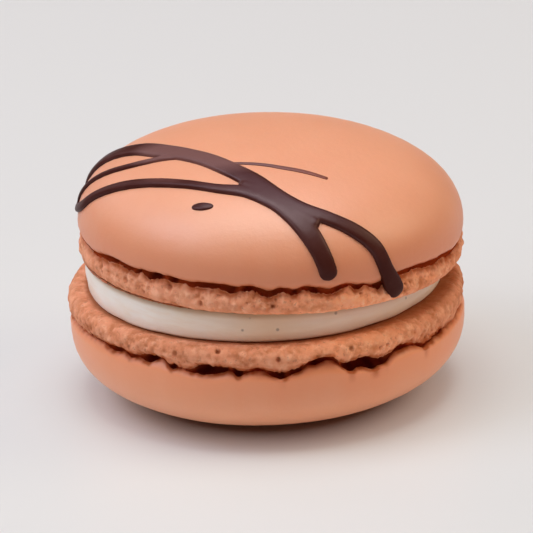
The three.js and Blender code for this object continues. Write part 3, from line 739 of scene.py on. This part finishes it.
def creamMaterial(look):
    # off-white with level streaks, painted tan shade and edge shadow where the mesh says, and a few specks
    material, tree, shader, place = newMaterial("vanilla cream")
    levels = addNode(tree, "ShaderNodeVectorMath", {0: place, 1: look["squash"]}, operation="MULTIPLY")
    levels = levels.outputs[0]
    body = mixColour(tree, pattern(tree, place, look["shades"]), look["body"], look["shade"])
    # painted shade: tan with warm reflected light on one side of the cream
    tanAndShade = product(tree, attribute(tree, "tanAndShade"), look["paintedShadeShare"])
    body = mixColour(tree, tanAndShade, body, look["tanAndShade"])
    body = mixColour(tree, pattern(tree, levels, look["streaks"]), body, look["tanAndShade"])
    # painted shadow at the cream's top and base, under and against the shells
    edgeShade = product(tree, attribute(tree, "edgeShade"), look["edgeShadeShare"])
    body = mixColour(tree, edgeShade, body, look["edgeShadeColour"])
    # a vanilla speck in the middle of the cells whose own number is high
    cells = addNode(tree, "ShaderNodeTexVoronoi",
                    {"Vector": place, "Scale": look["speckCells"], "Randomness": 1.0})
    speck = addNode(tree, "ShaderNodeMapRange",
                    {"Value": cells.outputs["Distance"], "From Min": look["speckCore"],
                     "From Max": look["speckEdge"], "To Min": 1.0, "To Max": 0.0}).outputs["Result"]
    chosen = math2(tree, "GREATER_THAN", cells.outputs["Color"], look["emptyCells"])
    speck = product(tree, product(tree, speck, chosen), look["speckShare"])
    setInputs(shader, {
        "Base Color": mixColour(tree, speck, body, look["speck"]),
        "Normal": noiseBump(tree, levels, look["bump"], look["bumpStrength"]),
        "Roughness": look["roughness"]})
    soften(shader, look)
    return material


def chocolateMaterial(look, name, deep, cloudy):
    # two tones in soft clouds, with a grey painted sheen at the top
    material, tree, shader, place = newMaterial(name)
    axes = addNode(tree, "ShaderNodeSeparateXYZ", {"Vector": place}).outputs
    paint = mixColour(tree, pattern(tree, place, look["clouds"]), look[deep], look[cloudy])
    high = ramp(tree, axes["Z"], *look["paintedSheenHeight"])
    near = ramp(tree, axes["Y"], *look["paintedSheenNear"])
    far = ramp(tree, axes["Y"], *look["paintedSheenFar"])
    # painted sheen: the patch lighter where the strand would catch a reflection
    sheenPatch = product(tree, high, product(tree, near, far))
    paint = mixColour(tree, sheenPatch, paint, look["paintedSheen"])
    # the shine is weaker on the hanging ends and towards the left
    shine = between(tree, ramp(tree, axes["Z"], *look["shineHeight"]), look["lowShine"], look["shine"])
    side = ramp(tree, axes["X"], *look["sidePlace"])
    shine = product(tree, shine, between(tree, side, 1.0, look["sideShine"]))
    setInputs(shader, {
        "Base Color": paint, "Normal": noiseBump(tree, place, look["bump"], look["bumpStrength"]),
        "Roughness": look["roughness"], "Specular IOR Level": shine, "Specular Tint": look["tint"]})
    return material


creamPaint = creamMaterial(creamLook)
chocolatePaint = chocolateMaterial(chocolateLook, "dark chocolate", "body", "bloom")
thinPaint = chocolateMaterial(chocolateLook, "thin chocolate", "thinDeep", "thin")


def makeShell(shell):
    # one surface for both shells: the lower one is turned over in z, the upper one tilted on the cream
    points, attributes = shellSurface(shell)
    top = np.array([0, 0, shell["footHeight"] + shell["domeHeight"]])
    base = np.zeros(3)
    if shell["domeDown"]:
        down = np.array([1, 1, -1])
        lift = np.array([0, 0, lowerTop])
        points, top, base = points * down + lift, top * down + lift, base * down + lift
        points[..., 2] = np.maximum(points[..., 2], 0)
        points[:rows["resting"], :, 2] = 0    # the flat spot that it rests on
    else:
        points, top, base = upperPlace(points), upperPlace(top), upperPlace(base)
    piece = meshFromGrid(shell["piece"], points, top, base, attributes, flip=shell["domeDown"])
    paint = crustMaterial(crustLook, shell["piece"].replace("_", " "), shell["tone"], shell["footTone"])
    finishPiece(piece, paint, shell["node"])
    print(shell["piece"], "has", 2 * len(piece.data.polygons), "triangles at most")


makeShell(lowerShell)
makeShell(upperShell)


def makeCream(cream):
    # a rounded side between two flat faces; the top face is the slanted plane under the upper shell
    turn = np.arange(cream["columns"]) / cream["columns"] * 2 * math.pi
    rim = creamRim(turn)
    up = upperPlace(np.array([0, 0, 1.0])) - upperPlace(np.zeros(3))

    def topAt(x, y):
        return tilt["thickness"] + cream["sink"] - (up[0] * (x - upperShell["shift"]) + up[1] * y) / up[2]

    def ringAt(radius):
        return cream["middle"] + radius * np.cos(turn), radius * np.sin(turn)

    rings = []
    for inset in cream["insets"]:
        x, y = ringAt(rim - inset)
        rings.append(np.stack([x, y, topAt(x, y)], -1))
    height = topAt(*ringAt(rim))
    for share in np.linspace(0, 1, cream["sideRows"]):
        away = np.minimum(share, 1 - share) * height
        corner = np.clip(1 - away / cream["edgeRound"], 0, 1)
        out = rim + cream["bulge"] * math.sin(math.pi * share) - cream["edgeRound"] * corner ** 2
        x, y = ringAt(out)
        rings.append(np.stack([x, y, height * (1 - share)], -1))
    for inset in cream["insets"][::-1]:
        x, y = ringAt(rim - inset)
        rings.append(np.stack([x, y, 0 * x - cream["sink"]], -1))
    points = np.stack(rings)
    faces = len(cream["insets"])    # the rings of the top face, and as many of the base
    side = np.zeros(len(rings))
    side[faces:-faces] = 1
    fromTop = np.linspace(0, 1, cream["sideRows"])[:, None] * height
    # painted shadow along the top and the base of the side, under and against the shells
    edgeShade = np.ones(points.shape[:2])
    edgeShade[faces:-faces] = (1 - smoothStep(*cream["edgeShadeTop"], fromTop)
                           + 1 - smoothStep(*cream["edgeShadeBase"], height - fromTop))
    squashed = points * np.array([1, 1, cream["swellSquash"]])
    swell = cream["swell"] * cloudNoise(squashed, cream["swellGrain"], cream["seed"])
    points = points + gridNormals(points) * (swell * side[:, None])[..., None]
    points = points + np.array([0, 0, lowerTop])
    top = np.array([cream["middle"], 0, lowerTop + topAt(cream["middle"], 0)])
    base = np.array([cream["middle"], 0, lowerTop - cream["sink"]])
    degrees = np.degrees(turn)
    # painted tan shade, warm reflected light: on one side from its side angle on, and again round its
    # angle
    tanAndShade = smoothStep(*cream["paintedShadeSide"], degrees)
    tanAndShade = tanAndShade + np.exp(-((degrees - cream["paintedShadeAt"]) / cream["paintedShadeReach"]) ** 2)
    tanAndShade = cream["paintedShadeShare"] * tanAndShade + 0 * edgeShade
    piece = meshFromGrid("cream_filling", points, top, base, {"edgeShade": np.clip(edgeShade, 0, 1), "tanAndShade": tanAndShade})
    finishPiece(piece, creamPaint, "filling")
    print("cream_filling made")


makeCream(cream)


# Chocolate strands on the dome laid out flat: [x, y, half width], where the distance from the middle
# is kept along the surface, so about 26 reaches the widest part.
drizzle = {
    "height": 0.5, "heightPerWidth": 0.9, "fleckHeightPerWidth": 0.45, "depth": 0.8, "around": 28,
    "corner": 0.7, "step": 0.25, "threadStep": 0.08, "dropStep": 0.06, "fewestRings": 24, "tip": 0.02,
    "voxel": 0.11, "smoothing": 6, "flow": 0.5, "unevenness": 0.05, "unevenGrain": 2.5, "seed": 5,
    "strands": [
        [[-26.2, 9.8, 1.0], [-23.6, 7.6, 1.15], [-20.6, 5.2, 1.3], [-17.6, 2.7, 1.38],
         [-15.0, 0.3, 1.38], [-12.6, -2.4, 1.4], [-9.9, -4.85, 1.32], [-7.4, -7.2, 1.25],
         [-4.7, -10.2, 1.3], [-2.1, -13.05, 1.3], [0.5, -16.0, 1.28], [3.2, -17.8, 1.1],
         [6.3, -18.65, 0.98], [9.3, -19.4, 0.95], [12.5, -20.45, 0.95], [15.2, -22.1, 0.95],
         [17.35, -23.0, 1.15], [19.3, -23.55, 1.22]],
        [[-25.9, 4.6, 0.3], [-26.1, 2.4, 0.38], [-25.9, 0.2, 0.45], [-25.2, -2.0, 0.55],
         [-23.9, -3.9, 0.62], [-22.0, -5.2, 0.62], [-19.6, -6.65, 0.68], [-16.4, -8.4, 0.72],
         [-13.0, -10.3, 0.68], [-9.6, -12.15, 0.64], [-6.3, -13.85, 0.66], [-2.7, -15.05, 0.98],
         [0.3, -16.95, 1.15], [2.4, -18.95, 1.2], [4.3, -21.1, 1.2], [5.8, -23.1, 1.1],
         [6.9, -24.7, 1.08], [7.7, -26.0, 1.1]],
        [[-3.9, -13.25, 0.3], [-2.6, -14.05, 0.75], [0.3, -16.3, 1.1], [2.6, -18.3, 1.1],
         [4.2, -19.3, 0.9], [5.4, -20.0, 0.6]],
        [[-26.0, 2.6, 0.35], [-23.1, 0.3, 0.4], [-19.3, -2.15, 0.42], [-17.0, -3.4, 0.42],
         [-14.7, -4.15, 0.43], [-12.6, -4.6, 0.43], [-10.9, -5.2, 0.35]]],
    "thread": [
        [[-5.2, -8.5, 0.2], [-3.4, -8.75, 0.25], [-1.0, -9.3, 0.3], [1.4, -10.1, 0.34],
         [3.8, -10.8, 0.34], [6.4, -11.8, 0.26]]],
    "drop": [
        [[-9.45, -16.15, 0.16], [-9.1, -16.22, 0.4], [-8.2, -16.42, 0.56], [-7.3, -16.6, 0.4],
         [-6.9, -16.68, 0.16]]],
}
drawing = {"apart": 9.0, "curvePoints": 600, "outlinePoints": 161, "slopeStep": 0.05}


def domeOutline(shell):
    # the upper dome's radius and height against the distance from the top, straight down past the rim
    _, _, flatT = domeCurve(shell, 0.0)
    radius, height, _ = domeCurve(shell, flatT * (1 - np.linspace(0, 1, drawing["outlinePoints"])))
    radius = np.concatenate([[0], radius, [radius[-1]]])
    height = np.concatenate([[shell["footHeight"] + shell["domeHeight"]], height, [0]])
    along = np.concatenate([[0], np.cumsum(np.hypot(np.diff(radius), np.diff(height)))])
    return radius, height, along


def onDome(outline, flat):
    # the place on the dome of points of the flat layout, and the way out of the dome there
    radius, height, along = outline
    distance = np.hypot(flat[:, 0], flat[:, 1])
    spot = np.interp(distance, along, radius)
    level = np.interp(distance, along, height)
    ends = (distance - drawing["slopeStep"], distance + drawing["slopeStep"])
    slopeOut = -np.diff(np.interp(ends, along, height), axis=0)[0]
    slopeUp = np.diff(np.interp(ends, along, radius), axis=0)[0]
    size = np.hypot(slopeOut, slopeUp)
    ways = flat[:, :2] / distance[:, None]
    place = np.concatenate([ways * spot[:, None], level[:, None]], 1)
    out = np.concatenate([ways * (slopeOut / size)[:, None], (slopeUp / size)[:, None]], 1)
    return place, out


def smoothCurve(knots, count):
    # a cubic between each two knots, whose slope at a knot is half the step from the knot before it to
    # the knot after it, then taken at even distances
    knots = np.array(knots, float)
    padded = np.concatenate([[2 * knots[0] - knots[1]], knots, [2 * knots[-1] - knots[-2]]])
    place = np.linspace(0, len(knots) - 1, drawing["curvePoints"])
    low = np.minimum(place.astype(int), len(knots) - 2)
    f = (place - low)[:, None]
    a, b, c, d = (padded[low + k] for k in range(4))
    curve = b + 0.5 * f * (c - a + f * (2 * a - 5 * b + 4 * c - d + f * (3 * (b - c) + d - a)))
    along = np.concatenate([[0], np.cumsum(np.linalg.norm(np.diff(curve, axis=0), axis=1))])
    even = np.linspace(0, along[-1], count)
    return np.stack([np.interp(even, along, curve[:, k]) for k in range(3)], -1), even


def strandGrid(outline, knots, number, step, heightPerWidth):
    # a round-cornered section carried along the curve, square to it, shrinking round at both ends
    length = smoothCurve(knots, 2)[1][-1]
    curve, even = smoothCurve(knots, max(drizzle["fewestRings"], int(length / step)))
    ends = (knots[0][2], knots[-1][2])
    fromEnds = np.minimum((even + drizzle["tip"]) / ends[0], (length - even + drizzle["tip"]) / ends[1])
    shrink = np.sqrt(1 - (1 - np.minimum(1, fromEnds)) ** 2)
    line = np.stack([even, 0 * even, 0 * even + number * drawing["apart"]], -1)
    wander = cloudNoise(line, drizzle["unevenGrain"], drizzle["seed"])
    halfWidth = curve[:, 2] * (1 + drizzle["unevenness"] * wander) * shrink
    height = np.minimum(drizzle["height"], heightPerWidth * curve[:, 2]) * shrink
    place, out = onDome(outline, curve)
    forward = np.gradient(place, axis=0)
    across = np.cross(out, forward)
    across /= np.linalg.norm(across, axis=1, keepdims=True)
    turn = np.arange(drizzle["around"]) / drizzle["around"] * 2 * math.pi
    wide, tall = (np.sign(side) * np.abs(side) ** drizzle["corner"]
                  for side in (np.cos(turn), np.sin(turn)))
    rise = np.where(tall > 0, tall * height[:, None], tall * drizzle["depth"])
    return (place[:, None] + across[:, None] * (wide * halfWidth[:, None])[..., None]
            + out[:, None] * rise[..., None])


def joinedStrands(name, strands, step, heightPerWidth):
    # every strand as one closed tube, all in one mesh
    outline = domeOutline(upperShell)
    vertices, faces, count = [], [], 0
    for number, knots in enumerate(strands):
        grid = strandGrid(outline, knots, number, step, heightPerWidth)
        rings, around = grid.shape[:2]
        index = count + np.arange(rings * around).reshape(rings, around)
        ahead = np.roll(index, -1, axis=1)
        quads = np.stack([index[:-1], ahead[:-1], ahead[1:], index[1:]], -1).reshape(-1, 4)
        faces += quads.tolist() + [index[0, ::-1].tolist(), index[-1].tolist()]
        vertices.append(upperPlace(grid.reshape(-1, 3)))
        count += rings * around
    return newPiece(name, np.concatenate(vertices), faces)


def flowTogether(piece, voxel, smoothing):
    # the tubes become one skin, and smoothing lets the chocolate run together where they meet
    remesh = piece.modifiers.new("skin", "REMESH")
    remesh.mode = "VOXEL"
    remesh.voxel_size = voxel * mm
    remesh.use_smooth_shade = True
    smooth = piece.modifiers.new("flow", "SMOOTH")
    smooth.factor = drizzle["flow"]
    smooth.iterations = smoothing
    shown = piece.evaluated_get(bpy.context.evaluated_depsgraph_get())
    mesh = bpy.data.meshes.new_from_object(shown)
    piece.modifiers.clear()
    piece.data = mesh


def makeDrizzle():
    # the broad strands run together; the thread and the drop lie by themselves
    strands = joinedStrands("drizzle_strands", drizzle["strands"], drizzle["step"],
                            drizzle["heightPerWidth"])
    flowTogether(strands, drizzle["voxel"], drizzle["smoothing"])
    flat = drizzle["fleckHeightPerWidth"]
    thread = joinedStrands("drizzle_thread", drizzle["thread"], drizzle["threadStep"], flat)
    drop = joinedStrands("drizzle_drop", drizzle["drop"], drizzle["dropStep"], flat)
    for piece, paint in ((strands, chocolatePaint), (thread, thinPaint), (drop, chocolatePaint)):
        finishPiece(piece, paint, "upper_shell")
        print(piece.name, "has", len(piece.data.polygons), "faces")


makeDrizzle()


# Studio: a pale floor that reaches so many mm, a pale room and soft lamps, all aimed at the middle of the
# macaron. The floor glows a little away from it: from none at glowFrom to all of it at glowTo, in m.
studio = {
    "floor": (0.49, 0.475, 0.46, 1), "floorRoughness": 0.45, "floorReach": 3000,
    "glow": (1.0, 0.94, 0.92, 1), "glowStrength": 0.22, "glowFrom": 0.0152, "glowTo": 0.0222,
    "room": (1.0, 0.70, 0.65, 1), "roomStrength": 0.085, "aim": (0, 0, 0.015),
    "lamps": [
        # name, place in m, size in m, watts, colour
        ("overhead", (0.0, 0.0, 0.85), 0.6, 5.3, (0.85, 0.93, 0.91)),
        ("behind", (0.05, 0.35, 0.8), 0.7, 0.8, (0.8, 0.79, 1.16)),
        ("behind left", (-0.5, 0.5, 0.4), 0.5, 0.6, (1.0, 0.84, 0.9)),
        ("window", (-0.5, -0.03, 0.68), 0.45, 2.8, (0.63, 0.73, 0.91)),
        ("front of the window", (-0.5, -0.25, 0.5), 0.5, 1.1, (0.94, 0.90, 0.95)),
        ("warm side", (0.65, 0.0, 0.5), 0.5, 1.75, (1.0, 0.86, 0.59)),
        ("low warm side", (0.6, -0.4, 0.14), 0.4, 0.3, (1.0, 0.28, 0.11)),
    ],
}


def makeStudio(studio):
    # a square floor, a plain room and round area lamps
    corners = np.array([(-1, -1, 0), (1, -1, 0), (1, 1, 0), (-1, 1, 0)])
    floor = newPiece("floor", corners * studio["floorReach"], [(0, 1, 2, 3)])
    material, tree, shader, place = newMaterial("pale floor")
    away = addNode(tree, "ShaderNodeVectorMath", {0: place}, operation="LENGTH").outputs["Value"]
    away = ramp(tree, away, studio["glowFrom"], studio["glowTo"])
    glow = between(tree, away, 0.0, studio["glowStrength"])
    setInputs(shader, {
        "Base Color": studio["floor"], "Roughness": studio["floorRoughness"],
        "Emission Color": studio["glow"], "Emission Strength": glow})
    floor.data.materials.append(material)
    world = bpy.data.worlds.new("studio")
    world.use_nodes = True
    room = world.node_tree.nodes["Background"]
    room.inputs["Color"].default_value = studio["room"]
    room.inputs["Strength"].default_value = studio["roomStrength"]
    bpy.context.scene.world = world
    for name, place, size, watts, colour in studio["lamps"]:
        data = bpy.data.lights.new(name, "AREA")
        data.shape = "DISK"
        data.size = size
        data.energy = watts
        data.color = colour
        lamp = newObject(name, data)
        lamp.location = place
        towards = Vector(studio["aim"]) - Vector(place)
        lamp.rotation_euler = towards.to_track_quat("-Z", "Y").to_euler()
    bpy.context.scene.view_settings.view_transform = "Standard"


makeStudio(studio)
print("studio lit")
